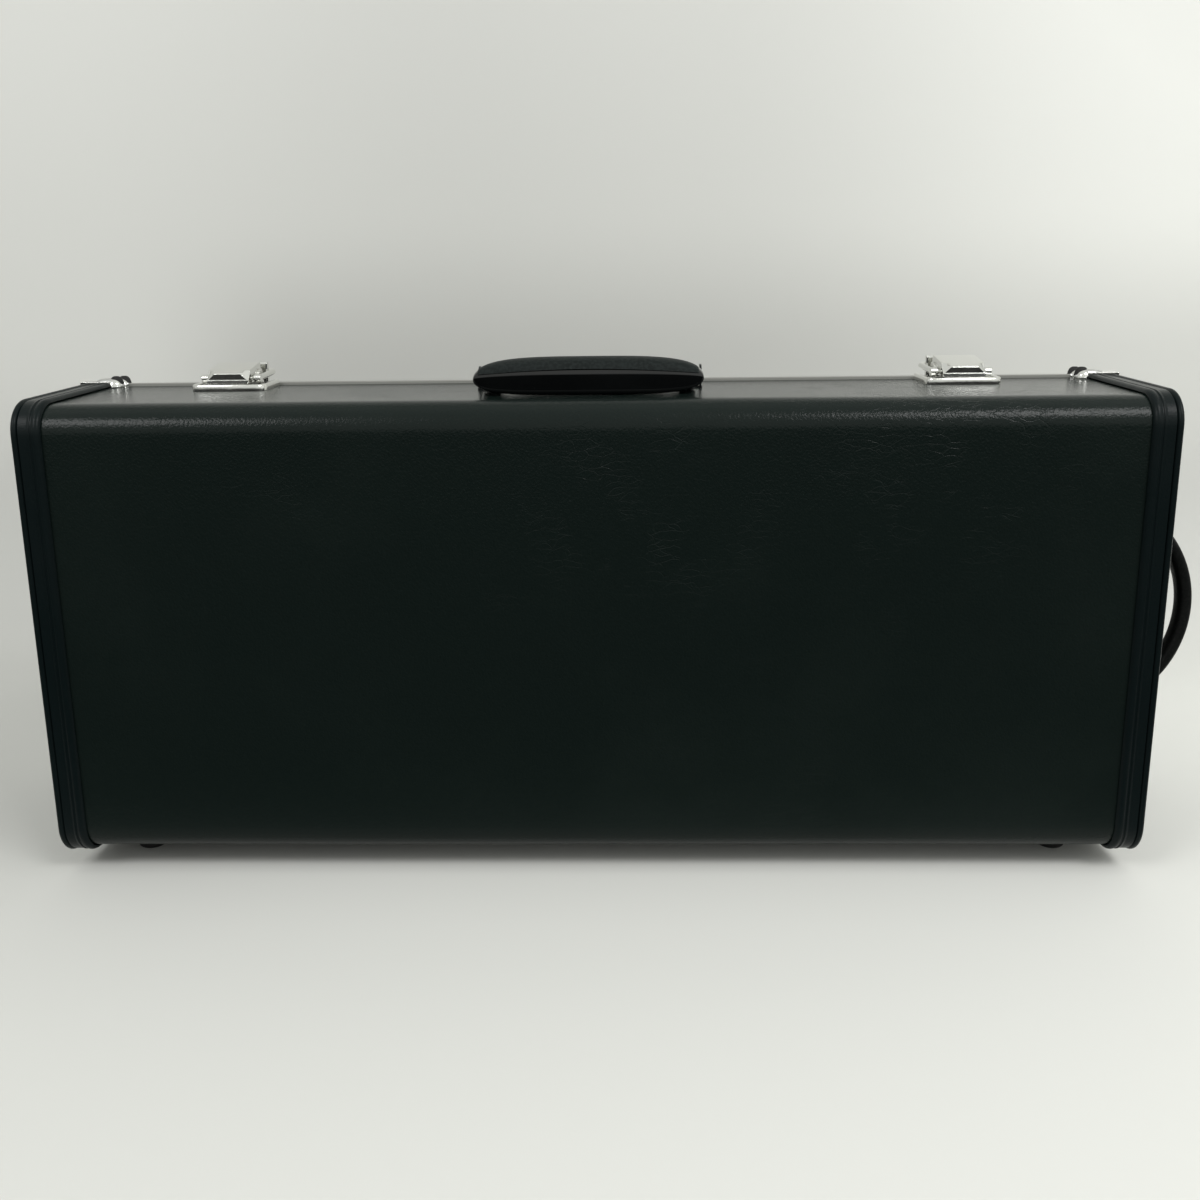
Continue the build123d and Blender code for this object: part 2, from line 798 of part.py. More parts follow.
def flap_corner():
    return -block_top + fit, compartment_z + fit


def flap_ends():
    return compartment_split_x + fit, shell_end_x - valance_sheet - 3 * fit


def accessory_flap():
    y, z = flap_corner()
    left, right = flap_ends()
    centre = Pos((left + right) / 2, y + flap_sheet / 2, z + flap_height / 2)
    panel = centre * Box(right - left, flap_sheet, flap_height)
    far_corners = panel.edges().filter_by(Axis.Y).group_by(Axis.Z)[-1]
    return fillet(far_corners, flap_corner_radius)


def flap_tab():
    y, z = flap_corner()
    left, right = flap_ends()
    height = z + flap_height - tab_length / 2 - flap_corner_radius
    centre = Pos((left + right) / 2, y + flap_sheet + tab_sheet / 2, height)
    return centre * Box(tab_width, tab_sheet, tab_length)


def flap_tape():
    left, right = flap_ends()
    y_front = -block_top + fit + flap_sheet
    centre = Pos((left + right) / 2, y_front - tape_width / 2, compartment_z - tape_sheet / 2)
    return centre * Box(right - left - 2 * tape_inset, tape_width, tape_sheet)


# Lining of the lid: a padded panel and two bolsters that hold the instrument down

def lid_panel():
    inside = half_block(lid_depth, wall + fit, -shell_end_x + fit, shell_end_x - fit)
    face_y = -(lid_depth - wall - lid_pad)
    slab = Pos(0, face_y - lid_pad / 2, mid_z) * Box(case_length, lid_pad, seam_height)
    return to_lid(inside & slab)


def lid_bolster(x_span, z_span):
    y_from = bolster_reach
    y_to = lid_depth - wall - lid_pad - fit
    centre = Pos(sum(x_span) / 2, (y_from + y_to) / 2, sum(z_span) / 2)
    bar = centre * Box(x_span[1] - x_span[0], y_to - y_from, z_span[1] - z_span[0])
    return fillet(bar.edges().filter_by(Axis.X).group_by(Axis.Y)[0], bolster_round)


def lid_bolsters():
    body_x = (bow_centre_x + body_bolster_ends[0], shell_end_x - body_bolster_ends[1])
    body_z = (body_axis_z - body_bolster_sides[0], body_axis_z + body_bolster_sides[1])
    bell_x = (bow_centre_x + bell_bolster_ends[0], bell_end_x - bell_bolster_ends[1])
    bell_z = (bell_low_z + bell_bolster_sides[0], bell_high_z - bell_bolster_sides[1])
    return solids_of([lid_bolster(body_x, body_z), lid_bolster(bell_x, bell_z)])


# Base half
save(shell(base_depth), "base_shell")
right_board = end_board(base_depth)
save(right_board, "base_end_board_right")
save(to_left(right_board), "base_end_board_left")
right_binding = binding(base_depth)
save(right_binding, "base_binding_right")
save(to_left(right_binding), "base_binding_left")
save(clips(base_depth), "base_corner_clips")
save(feet(base_depth), "base_feet")
save(base_leaves(), "hinge_base_leaves")
save(hinge_pins(), "hinge_pins")
save(base_valance(), "base_valance")
save(floor_pad_block(), "base_floor_pad")
save(bow_end_block(), "bow_end_block")
save(hinge_side_bolster(), "hinge_side_bolster")
save(bell_side_bolster(), "bell_side_bolster")
save(bell_rim_block(), "bell_rim_block")
save(centre_divider(), "centre_divider")
save(body_end_block(), "body_end_block")
save(compartment_walls(), "compartment_walls")
save(accessory_flap(), "accessory_flap")
save(flap_tab(), "accessory_flap_tab")
save(flap_tape(), "accessory_flap_tape")

# Lid half
save(to_lid(shell(lid_depth)), "lid_shell")
lid_board = to_lid(end_board(lid_depth))
save(lid_board, "lid_end_board_right")
save(to_left(lid_board), "lid_end_board_left")
lid_binding = to_lid(binding(lid_depth))
save(lid_binding, "lid_binding_right")
save(to_left(lid_binding), "lid_binding_left")
save(to_lid(clips(lid_depth)), "lid_corner_clips")
save(to_lid(feet(lid_depth)), "lid_feet")
save(lid_leaves(), "hinge_lid_leaves")
save(lid_welt(), "lid_welt")
save(lid_panel(), "lid_pad")
save(lid_bolsters(), "lid_bolsters")

# Latches
for side, name in ((-1, "left"), (1, "right")):
    place = Pos(side * latch_x, 0, 0)
    save(place * latch_base(), f"latch_base_{name}")
    save(place * lever_pin(), f"latch_pin_{name}")
    save(place * lever(), f"latch_lever_{name}")
    save(place * bail(), f"latch_bail_{name}")
    save(place * catch(), f"latch_catch_{name}")
base_rivets = [Pos(side * latch_x, 0, 0) * rivet for side in (-1, 1) for rivet in latch_rivets()]
save(solids_of(base_rivets), "latch_base_rivets")
lid_rivets = [Pos(side * latch_x, 0, 0) * rivet for side in (-1, 1) for rivet in catch_rivets()]
save(solids_of(lid_rivets), "latch_catch_rivets")

# Handles
save(handle_body(), "handle_body")
save(handle_pad(), "handle_pad")
save(solids_of([handle_bracket(side) for side in (-1, 1)]), "handle_brackets")
save(solids_of([handle_pin(side) for side in (-1, 1)]), "handle_pins")
save(solids_of([screw for side in (-1, 1) for screw in bracket_screws(side)]), "handle_screws")
save(side_handle(), "side_handle")
save(side_caps(), "side_handle_caps")
save(side_screws(), "side_handle_screws")
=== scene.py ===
"""Looks of an alto saxophone case: coverings, bindings, plated hardware, handles and plush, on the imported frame."""
import json
import math

import bpy
import numpy as np
from mathutils import Matrix, Vector

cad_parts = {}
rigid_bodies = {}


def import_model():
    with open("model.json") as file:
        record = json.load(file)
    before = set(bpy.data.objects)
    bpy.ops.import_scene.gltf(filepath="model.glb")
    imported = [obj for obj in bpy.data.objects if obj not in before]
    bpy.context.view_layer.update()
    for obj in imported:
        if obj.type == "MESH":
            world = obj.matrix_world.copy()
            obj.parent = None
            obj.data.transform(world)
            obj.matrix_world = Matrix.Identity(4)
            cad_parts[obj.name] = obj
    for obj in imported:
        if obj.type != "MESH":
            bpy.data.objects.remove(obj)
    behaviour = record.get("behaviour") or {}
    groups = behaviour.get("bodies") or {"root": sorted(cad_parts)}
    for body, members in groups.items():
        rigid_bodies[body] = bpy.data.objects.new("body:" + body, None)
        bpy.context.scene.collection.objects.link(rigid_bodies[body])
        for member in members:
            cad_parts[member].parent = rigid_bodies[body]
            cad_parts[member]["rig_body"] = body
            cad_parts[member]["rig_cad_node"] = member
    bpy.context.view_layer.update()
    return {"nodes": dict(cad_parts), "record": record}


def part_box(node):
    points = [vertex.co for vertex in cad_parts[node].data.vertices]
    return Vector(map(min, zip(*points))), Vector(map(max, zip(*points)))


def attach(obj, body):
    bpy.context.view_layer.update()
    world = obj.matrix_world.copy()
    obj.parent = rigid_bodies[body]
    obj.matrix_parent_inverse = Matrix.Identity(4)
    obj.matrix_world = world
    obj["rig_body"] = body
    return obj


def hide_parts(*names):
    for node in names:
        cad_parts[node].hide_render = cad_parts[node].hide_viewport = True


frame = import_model()
nodes = frame["nodes"]

# Sizes in metres: X along the case, Y from the base half to the lid, Z up
draft = math.radians(5.0)
seam_gap = 0.0003
edge_radius = 0.017
wall = 0.005
half_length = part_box("base_binding_right")[1].x
shell_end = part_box("base_shell")[1].x
board_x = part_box("base_end_board_right")[1].x
depth = {"base": -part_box("base_shell")[0].y, "lid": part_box("lid_shell")[1].y}
top_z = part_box("base_shell")[1].z + seam_gap * math.tan(draft)
low_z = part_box("base_shell")[0].z - seam_gap * math.tan(draft)
mid_z = (top_z + low_z) / 2
side_of = {"base": -1.0, "lid": 1.0}
end_name = {-1: "left", 1: "right"}

# Camera, found from the outline of the case and the line of its seam
camera_place = Vector((0.018804, -0.715304, 0.303731))
camera_pitch, camera_yaw, camera_roll = (math.radians(a) for a in (-12.406, -1.349, -0.583))
focal_length_px = 1119.889
picture_px = 1200
film_width_mm = 36.0


def make_camera():
    """Right-hand, up and view directions from yaw, pitch and roll, in that order."""
    data = bpy.data.cameras.new("camera")
    data.sensor_width = film_width_mm
    data.lens = focal_length_px / picture_px * film_width_mm
    data.clip_start, data.clip_end = 0.01, 50.0
    camera = bpy.data.objects.new("camera", data)
    bpy.context.scene.collection.objects.link(camera)
    level = Vector((math.sin(camera_yaw), math.cos(camera_yaw), 0.0))
    ahead = level * math.cos(camera_pitch) + Vector((0, 0, math.sin(camera_pitch)))
    right = Vector((math.cos(camera_yaw), -math.sin(camera_yaw), 0.0))
    roll = Matrix.Rotation(-camera_roll, 3, ahead)
    right, up = roll @ right, roll @ right.cross(ahead)
    turn = Matrix((right, up, -ahead)).transposed().to_4x4()
    camera.matrix_world = Matrix.Translation(camera_place) @ turn
    bpy.context.scene.camera = camera


# Nodes of materials

def new_material(name):
    material = bpy.data.materials.new(name)
    material.use_nodes = True
    return material, material.node_tree, material.node_tree.nodes["Principled BSDF"]


def put(tree, socket, value):
    """Links a socket, or sets a plain value."""
    if isinstance(value, bpy.types.NodeSocket):
        tree.links.new(value, socket)
    else:
        socket.default_value = value


def put_all(tree, node, values):
    for key, value in values.items():
        put(tree, node.inputs[key], value)


def add(tree, kind, values=None, **settings):
    node = tree.nodes.new(kind)
    for key, value in settings.items():
        setattr(node, key, value)
    put_all(tree, node, values or {})
    return node


def maths(tree, operation, *values, clamp=False):
    node = add(tree, "ShaderNodeMath", operation=operation, use_clamp=clamp)
    for socket, value in zip(node.inputs, values):
        put(tree, socket, value)
    return node.outputs[0]


def product(tree, first, *others):
    for value in others:
        first = maths(tree, "MULTIPLY", first, value)
    return first


def one_minus(tree, value):
    return maths(tree, "SUBTRACT", 1.0, value)


def ramp(tree, value, low, high):
    """0 below low and 1 above high, smooth between."""
    values = {"Value": value, "From Min": low, "From Max": high}
    return add(tree, "ShaderNodeMapRange", values, interpolation_type="SMOOTHSTEP").outputs["Result"]


def moved(tree, place, scale, turn=(0.0, 0.0, 0.0)):
    return add(tree, "ShaderNodeMapping", {"Vector": place, "Scale": scale, "Rotation": turn}).outputs["Vector"]


def object_place(tree, scale=(1.0, 1.0, 1.0)):
    return moved(tree, add(tree, "ShaderNodeTexCoord").outputs["Object"], scale)


def noise(tree, place, scale, detail=2.0, roughness=0.5):
    values = {"Vector": place, "Scale": scale, "Detail": detail, "Roughness": roughness}
    return add(tree, "ShaderNodeTexNoise", values).outputs["Fac"]


def vector(tree, operation, first, second):
    return add(tree, "ShaderNodeVectorMath", {0: first, 1: second}, operation=operation).outputs


def mix_colour(tree, share, first, second):
    node = add(tree, "ShaderNodeMix", {0: share, 6: first, 7: second}, data_type="RGBA")
    return node.outputs[2]


def mix_value(tree, share, first, second):
    return add(tree, "ShaderNodeMix", {0: share, 2: first, 3: second}, data_type="FLOAT").outputs[0]


def bumped(tree, height, distance, **others):
    return add(tree, "ShaderNodeBump", {"Height": height, "Distance": distance, **others}).outputs[0]


def make_group(name, inputs, outputs):
    """A node group with number inputs that have defaults, and number outputs."""
    group = bpy.data.node_groups.new(name, "ShaderNodeTree")
    for key, default in inputs.items():
        group.interface.new_socket(key, in_out="INPUT", socket_type="NodeSocketFloat").default_value = default
    for key in outputs:
        group.interface.new_socket(key, in_out="OUTPUT", socket_type="NodeSocketFloat")
    return group, group.nodes.new("NodeGroupInput").outputs, group.nodes.new("NodeGroupOutput").inputs


def use_group(tree, group, values):
    return add(tree, "ShaderNodeGroup", values, node_tree=group).outputs


# Leather grain, with its heights and depths as shares of the relief. The creased places are given by their middle,
# high on the base's face, and their reach. The crease cells are counted per metre and leaned over a little.
pores_per_cell = 2.5
pebble_height, pore_height, crease_depth = 0.7, 0.5, 0.6
creased_places = (((0.03, -0.098, 0.225), 0.10), ((0.19, -0.085, 0.265), 0.12))
crease_cells, crease_lean, crease_width = (80.0, 230.0, 230.0), (0.0, 0.25, 0.0), 0.05
crease_warp, warps_per_metre = (0.008, 0.008, 0.008), 70.0


def make_grain():
    """Embossed grain: rounded cells Cell metres wide with furrows between them, fine pores, and in some patches thin
    creases along the edges of larger, stretched and warped cells."""
    group, given, result = make_group("leather_grain", {"Cell": 0.001, "Creases": 1.0}, ("Height", "Crease"))
    place = object_place(group)
    frequency = maths(group, "DIVIDE", 1.0, given["Cell"])
    cells = add(group, "ShaderNodeTexVoronoi", {"Vector": place, "Scale": frequency}, feature="SMOOTH_F1")
    pebble = one_minus(group, cells.outputs["Distance"])
    pores = noise(group, place, product(group, frequency, pores_per_cell))

    warp = add(group, "ShaderNodeTexNoise", {"Vector": place, "Scale": warps_per_metre}).outputs["Color"]
    warp = vector(group, "MULTIPLY", warp, crease_warp)[0]
    bent = moved(group, vector(group, "ADD", place, warp)[0], crease_cells, crease_lean)
    edges = add(group, "ShaderNodeTexVoronoi", {"Vector": bent, "Scale": 1.0}, feature="DISTANCE_TO_EDGE")
    crease = one_minus(group, ramp(group, edges.outputs["Distance"], 0.0, crease_width))

    patches = product(group, ramp(group, noise(group, place, 11.0), 0.56, 0.72), 0.6)
    for middle, reach in creased_places:
        away = vector(group, "DISTANCE", place, middle)["Value"]
        patches = maths(group, "MAXIMUM", patches, one_minus(group, ramp(group, away, 0.3 * reach, reach)))
    broken = ramp(group, noise(group, place, 45.0), 0.44, 0.62)
    crease = product(group, crease, patches, broken, given["Creases"])

    height = maths(group, "ADD", product(group, pebble, pebble_height), product(group, pores, pore_height))
    put(group, result["Height"], maths(group, "SUBTRACT", height, product(group, crease, crease_depth)))
    put(group, result["Crease"], crease)
    return group


def make_scuffs():
    """Dust in soft clouds of size 1 / Scale, with specks."""
    group, given, result = make_group("scuffs", {"Amount": 0.5, "Scale": 6.0}, ("Dust",))
    place = object_place(group)
    clouds = ramp(group, noise(group, place, given["Scale"], 5.0, 0.6), 0.42, 0.75)
    specks = ramp(group, noise(group, place, 420.0, 1.0), 0.70, 0.80)
    dust = maths(group, "ADD", clouds, product(group, specks, 0.35))
    put(group, result["Dust"], maths(group, "MULTIPLY", dust, given["Amount"], clamp=True))
    return group


grain = make_grain()
scuffs = make_scuffs()


def leather(name, base, dusty, cell=0.001, relief=0.00006, roughness=0.25, specular=0.13, creases=1.0, dust=0.4):
    """Leather or leatherette: embossed grain, a fine speckle, uneven gloss, dust in clouds and pale creases."""
    crease_share, speckle_share, dulling = 0.2, 0.14, 0.14
    material, tree, surface = new_material(name)
    embossed = use_group(tree, grain, {"Cell": cell, "Creases": creases})
    worn = use_group(tree, scuffs, {"Amount": dust})
    speckle = ramp(tree, noise(tree, object_place(tree), 800.0, 3.0), 0.42, 0.66)
    pale = maths(tree, "ADD", worn["Dust"], product(tree, embossed["Crease"], crease_share))
    pale = maths(tree, "ADD", pale, product(tree, speckle, speckle_share), clamp=True)
    put_all(tree, surface, {
        "Base Color": mix_colour(tree, pale, (*base, 1.0), (*dusty, 1.0)),
        "Roughness": mix_value(tree, pale, roughness, roughness + dulling),
        "Specular IOR Level": specular,
        "Normal": bumped(tree, embossed["Height"], relief)})
    return material


def metal(name, tint, roughness, bevel, brushed=0.0):
    """Plated metal: rounded edges, a little dulling, and a faint ripple in the plating or fine lines along X."""
    ripple_height, dulling = 0.00005, 0.12
    material, tree, surface = new_material(name)
    worn = use_group(tree, scuffs, {"Amount": 0.5, "Scale": 30.0})
    rounded = add(tree, "ShaderNodeBevel", {"Radius": bevel}, samples=6).outputs[0]
    if brushed:
        ripple = noise(tree, object_place(tree, (40.0, 1800.0, 1800.0)), 1.0)
    else:
        ripple = noise(tree, object_place(tree), 170.0)
    put_all(tree, surface, {
        "Base Color": (*tint, 1.0),
        "Metallic": 1.0,
        "Roughness": mix_value(tree, worn["Dust"], roughness, roughness + dulling),
        "Normal": bumped(tree, ripple, ripple_height + brushed, Normal=rounded)})
    return material


def moulded(name, base, roughness, relief, specular=0.4, coat=0.0, grain_scale=1900.0, speckle=0.0):
    """Moulded plastic or rubber with fine grain, light dust and, where asked, grains that are paler than the rest."""
    dulling = 0.1
    dusty = tuple(value * 1.6 + 0.004 for value in base)
    material, tree, surface = new_material(name)
    worn = use_group(tree, scuffs, {"Amount": 0.25, "Scale": 24.0})
    grains = noise(tree, object_place(tree), grain_scale, 2.0)
    pale = maths(tree, "ADD", worn["Dust"], product(tree, ramp(tree, grains, 0.4, 0.65), speckle), clamp=True)
    put_all(tree, surface, {
        "Base Color": mix_colour(tree, pale, (*base, 1.0), (*dusty, 1.0)),
        "Roughness": mix_value(tree, worn["Dust"], roughness, roughness + dulling),
        "Specular IOR Level": specular,
        "Coat Weight": coat,
        "Coat Roughness": 0.04,
        "Normal": bumped(tree, grains, relief)})
    return material


def plush(name, base, bright):
    """Short pile: a soft sheen, brushed lighter and darker in patches, with a fine nap."""
    nap_depth, nap_share, bright_share = 0.0004, 0.6, 0.62
    material, tree, surface = new_material(name)
    nap = noise(tree, object_place(tree), 1400.0, 2.0)
    brushed = ramp(tree, noise(tree, object_place(tree, (9.0, 14.0, 20.0)), 1.0, 3.0), 0.36, 0.66)
    share = maths(tree, "ADD", brushed, product(tree, nap, nap_share))
    share = maths(tree, "MULTIPLY", share, bright_share, clamp=True)
    put_all(tree, surface, {
        "Base Color": mix_colour(tree, share, (*base, 1.0), (*bright, 1.0)),
        "Roughness": 0.95,
        "Specular IOR Level": 0.1,
        "Sheen Weight": 0.6,
        "Sheen Roughness": 0.4,
        "Sheen Tint": (0.8, 0.25, 0.28, 1.0),
        "Normal": bumped(tree, nap, nap_depth, Strength=0.6)})
    return material


leatherette = leather("case_leatherette", (0.0062, 0.0105, 0.0093), (0.0115, 0.0170, 0.0150), cell=0.0013,
                      relief=0.00014, roughness=0.13)
strip_leather = leather("binding_leather", (0.0033, 0.0068, 0.0072), (0.0070, 0.0105, 0.0110), cell=0.0009,
                        relief=0.00008, roughness=0.30, specular=0.11, creases=0.0, dust=0.3)
handle_leather = leather("handle_leather", (0.0032, 0.0038, 0.0038), (0.030, 0.030, 0.028), cell=0.0012,
                         relief=0.0001, roughness=0.38, creases=0.6, dust=0.6)
bead_vinyl = leather("bead_vinyl", (0.20, 0.20, 0.185), (0.24, 0.24, 0.22), relief=0.00002, roughness=0.35,
                     specular=0.5, creases=0.0)
chrome = metal("chrome_plate", (0.64, 0.64, 0.615), 0.09, 0.0003)
steel = metal("plated_steel", (0.58, 0.58, 0.57), 0.22, 0.0003, brushed=0.00002)
gloss = moulded("handle_gloss", (0.0012, 0.0016, 0.0018), 0.07, 0.000004, specular=0.3, coat=0.35)
grained = moulded("handle_grain", (0.0050, 0.0075, 0.0072), 0.6, 0.00018, specular=0.12, grain_scale=650.0,
                  speckle=1.0)
rubber = moulded("foot_rubber", (0.010, 0.010, 0.010), 0.6, 0.00004, specular=0.3)
lining = plush("plush_lining", (0.030, 0.003, 0.006), (0.085, 0.010, 0.017))

slot_finish = {"case_leatherette": leatherette, "binding_leather": strip_leather, "chrome_plate": chrome,
               "plated_steel": steel, "plush_lining": lining, "plush_padding": lining, "handle_gloss": gloss,
               "handle_grain": grained, "handle_leather": handle_leather, "cap_leather": handle_leather,
               "foot_rubber": rubber}
slot_of = {entry["node"]: entry["material_slot"] for entry in frame["record"]["subparts"]}
for node, slot in slot_of.items():
    nodes[node].data.materials.clear()
    nodes[node].data.materials.append(slot_finish[slot])
nodes["lid_welt"].data.materials[0] = bead_vinyl
nodes["handle_brackets"].data.materials[0] = gloss


def line_inner_faces(mesh):
    """Gives the faces of an end board that look along the case to its middle their plush."""
    count = len(mesh.polygons)
    normals, centres = np.empty(3 * count), np.empty(3 * count)
    mesh.polygons.foreach_get("normal", normals)
    mesh.polygons.foreach_get("center", centres)
    mesh.materials.append(lining)
    mesh.polygons.foreach_set("material_index", (normals[::3] * np.sign(centres[::3]) < -0.5).astype(int))


for half in side_of:
    for end in end_name.values():
        line_inner_faces(nodes[f"{half}_end_board_{end}"].data)


# Surfaces

def make_piece(name, points, faces, body, material, *replaced, sharp=40.0):
    """A closed mesh from points and faces, made a piece."""
    mesh = bpy.data.meshes.new(name)
    mesh.from_pydata(np.asarray(points, float).reshape(-1, 3), [], faces)
    return add_piece(name, mesh, body, material, *replaced, sharp=sharp)


def add_piece(name, mesh, body, material, *replaced, sharp=40.0):
    """A piece with smooth faces that point outwards: they are turned round if its signed volume is negative. Edges
    that turn by more than sharp degrees stay sharp."""
    points = np.empty(3 * len(mesh.vertices))
    mesh.vertices.foreach_get("co", points)
    mesh.calc_loop_triangles()
    corners = np.empty(3 * len(mesh.loop_triangles), int)
    mesh.loop_triangles.foreach_get("vertices", corners)
    a, b, c = points.reshape(-1, 3)[corners.reshape(-1, 3)].transpose(1, 0, 2)
    if np.einsum("ij,ij->i", a, np.cross(b, c)).sum() < 0:
        mesh.flip_normals()
    mesh.polygons.foreach_set("use_smooth", np.ones(len(mesh.polygons), bool))
    mesh.set_sharp_from_angle(angle=math.radians(sharp))
    mesh.materials.append(material)
    piece = bpy.data.objects.new(name, mesh)
    bpy.context.scene.collection.objects.link(piece)
    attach(piece, body)
    if replaced:
        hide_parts(*replaced)
    return piece


def grid_faces(index):
    """Quads between neighbours in a grid of point numbers."""
    return np.stack([index[:-1, :-1], index[:-1, 1:], index[1:, 1:], index[1:, :-1]], -1).reshape(-1, 4).tolist()


def tube_faces(rows, columns, caps=True):
    """Quads between rows of closed rings, and a face across each end."""
    index = np.arange(rows * columns).reshape(rows, columns)
    quads = grid_faces(np.concatenate([index, index[:, :1]], 1))
    return quads + ([index[0].tolist(), index[-1].tolist()] if caps else [])


def circle(count):
    """Angles of points spaced evenly round a circle."""
    return np.linspace(0, 2 * math.pi, count, endpoint=False)


def power_ellipse(count, power, lower_power=None):
    """Cosines and sines round a circle, raised to a power with their signs kept: below 1 it gives a squarer oval.
    The lower half may have a power of its own."""
    cos, sin = np.cos(circle(count)), np.sin(circle(count))
    power = np.where(sin < 0, lower_power or power, power)
    return np.sign(cos) * np.abs(cos) ** power, np.sign(sin) * np.abs(sin) ** power


def unit_tangent(path):
    """Direction of a path in a plane at each of its points."""
    tangent = np.gradient(path, axis=0)
    return tangent / np.linalg.norm(tangent, axis=1)[:, None]


def smoothed(values, steps):
    """Each inner point is moved towards the middle of its neighbours, a number of times. The ends stay."""
    values = np.array(values, float)
    for _ in range(steps):
        values[1:-1] = values[1:-1] / 2 + (values[:-2] + values[2:]) / 4
    return values


def half_outline(half, inset=0.0):
    """Across one half, from the seam over the handle side, the big face and the hinge side back to the seam:
    a drafted line, an arc, a line, and the same mirrored in height. Gives Y, Z and the outward normal's Y and Z."""
    far = depth[half] - inset
    radius = max(edge_radius - inset, 0.001)
    middle_y = far - radius
    line_z = top_z - inset / math.cos(draft)
    middle_z = line_z - radius / math.cos(draft) - middle_y * math.tan(draft)
    angle = np.linspace(math.pi / 2 - draft, 0.0, 15)
    arc_y, arc_z = middle_y + radius * np.cos(angle), middle_z + radius * np.sin(angle)
    line_y = np.linspace(seam_gap, arc_y[0], 19)[:-1]
    face_z = np.linspace(arc_z[-1], mid_z, 30)[1:]
    y = np.concatenate([line_y, arc_y, np.full(len(face_z), far)])
    z = np.concatenate([line_z - line_y * math.tan(draft), arc_z, face_z])
    tilt = np.concatenate([np.full(len(line_y), angle[0]), angle, np.zeros(len(face_z))])
    y, tilt = np.concatenate([y, y[-2::-1]]), np.concatenate([tilt, -tilt[-2::-1]])
    z = np.concatenate([z, 2 * mid_z - z[-2::-1]])
    side = side_of[half]
    return side * y, z, side * np.cos(tilt), np.sin(tilt)


def make_skin(half):
    """A shell: the outline and the same outline set in by the wall, carried along X, with plush on its inside. The
    outer covering swells and sinks by up to a fifth of a millimetre in long waves that die out at its edges."""
    columns, fade_length, wave_height = 140, 0.03, 0.00009
    y, z, ny, nz = half_outline(half)
    inner_y, inner_z, _, _ = half_outline(half, wall)
    count = len(y)
    x = np.linspace(-shell_end, shell_end, columns)[:, None]
    along = np.cumsum(np.hypot(np.diff(y, prepend=y[0]), np.diff(z, prepend=z[0])))[None]
    from_edge = np.minimum(along, along[0, -1] - along)
    fade = np.clip(from_edge / fade_length, 0, 1) * np.clip((shell_end - np.abs(x)) / fade_length, 0, 1)
    waves = np.sin(17 * x + 9 * along) + np.sin(31 * x - 22 * along + 1.3) * 0.7 + np.sin(8 * x + 41 * along) * 0.6
    swell = wave_height * waves * fade
    outer = np.stack(np.broadcast_arrays(x, y + ny * swell, z + nz * swell), 2)
    inner = np.stack(np.broadcast_arrays(x, inner_y[None], inner_z[None]), 2)
    faces = tube_faces(columns, 2 * count, caps=False)
    first = np.arange(count)
    for start in (first, first + (columns - 1) * 2 * count):
        opposite = 2 * start[0] + 2 * count - 1 - start
        faces += np.stack([start[:-1], start[1:], opposite[1:], opposite[:-1]], -1).tolist()
    rings = np.concatenate([outer, inner[:, ::-1]], 1)
    mesh = make_piece(f"{half}_covering", rings, faces, half, leatherette, f"{half}_shell").data
    mesh.materials.append(lining)
    lined = np.zeros(len(faces), int)
    lined[:(columns - 1) * 2 * count].reshape(columns - 1, 2 * count)[:, count:-1] = 1
    mesh.polygons.foreach_set("material_index", lined)


# Across a binding: where its lip, ridge, strip and piping bead lie, and how high they are
binding_width = 0.0164
lip_middle, lip_half = 0.0028, 0.0029
ridge_start, ridge_end, ridge_height = 0.0056, 0.0064, 0.00265
strip_height = 0.00225
bead_start, bead_middle, bead_half = 0.0125, 0.0147, 0.0018
bead_low, bead_rise = 0.0010, 0.0019
wrap_width, wrap_depth = 0.0020, 0.0013


def dome(across, middle, half):
    """A circle's upper half stretched to a width: 1 at its middle, 0 from half a width away."""
    return np.sqrt(np.clip(1 - ((across - middle) / half) ** 2, 0, 1))


def binding_outline():
    """Across a binding from its inner edge: a rounded lip, a fine ridge, a flat strip and a round piping bead, as
    heights above the covering; then down over the board's edge and back underneath."""
    across = np.concatenate([np.linspace(0, 0.0054, 14), [0.0057, 0.0060, 0.0063], np.linspace(0.0067, 0.0122, 7),
                             np.linspace(0.0128, binding_width, 11)])
    lip = lip_half * dome(across, lip_middle, lip_half)
    height = np.where(across < lip_middle, lip, np.maximum(lip, strip_height))
    height = np.where((across > ridge_start) & (across < ridge_end), ridge_height, height)
    bead = bead_low + bead_rise * dome(across, bead_middle, bead_half)
    height = np.where(across > bead_start, bead, height)
    under_x = binding_width - wrap_width * np.array([0, 0, 1, 1])
    under = -wrap_depth * np.array([0, 1, 1, 0])
    return np.concatenate([across, under_x]), np.concatenate([height, under])


def make_binding(half, end):
    """The binding's outline carried round the case's outline, on one end of one half."""
    across, height = binding_outline()
    y, z, ny, nz = half_outline(half)
    x = end * (half_length - binding_width + across)
    rings = np.stack([np.repeat(x[None], len(y), 0), y[:, None] + ny[:, None] * height,
                      z[:, None] + nz[:, None] * height], 2)
    make_piece(f"{half}_{end_name[end]}_binding", rings, tube_faces(len(y), len(across)), half, strip_leather,
               f"{half}_binding_{end_name[end]}", sharp=50.0)


for half in side_of:
    make_skin(half)
    for end in end_name:
        make_binding(half, end)


# Carrying handle, in places on the sloping handle side: across the case, up the slope to the seam, and out of it

def on_top(across, slope, out):
    """Turns places on the handle side into X, Y and Z."""
    across, slope, out = np.broadcast_arrays(across, slope, out)
    return np.stack([across, slope * math.cos(draft) - out * math.sin(draft),
                     top_z + slope * math.sin(draft) + out * math.cos(draft)], -1)


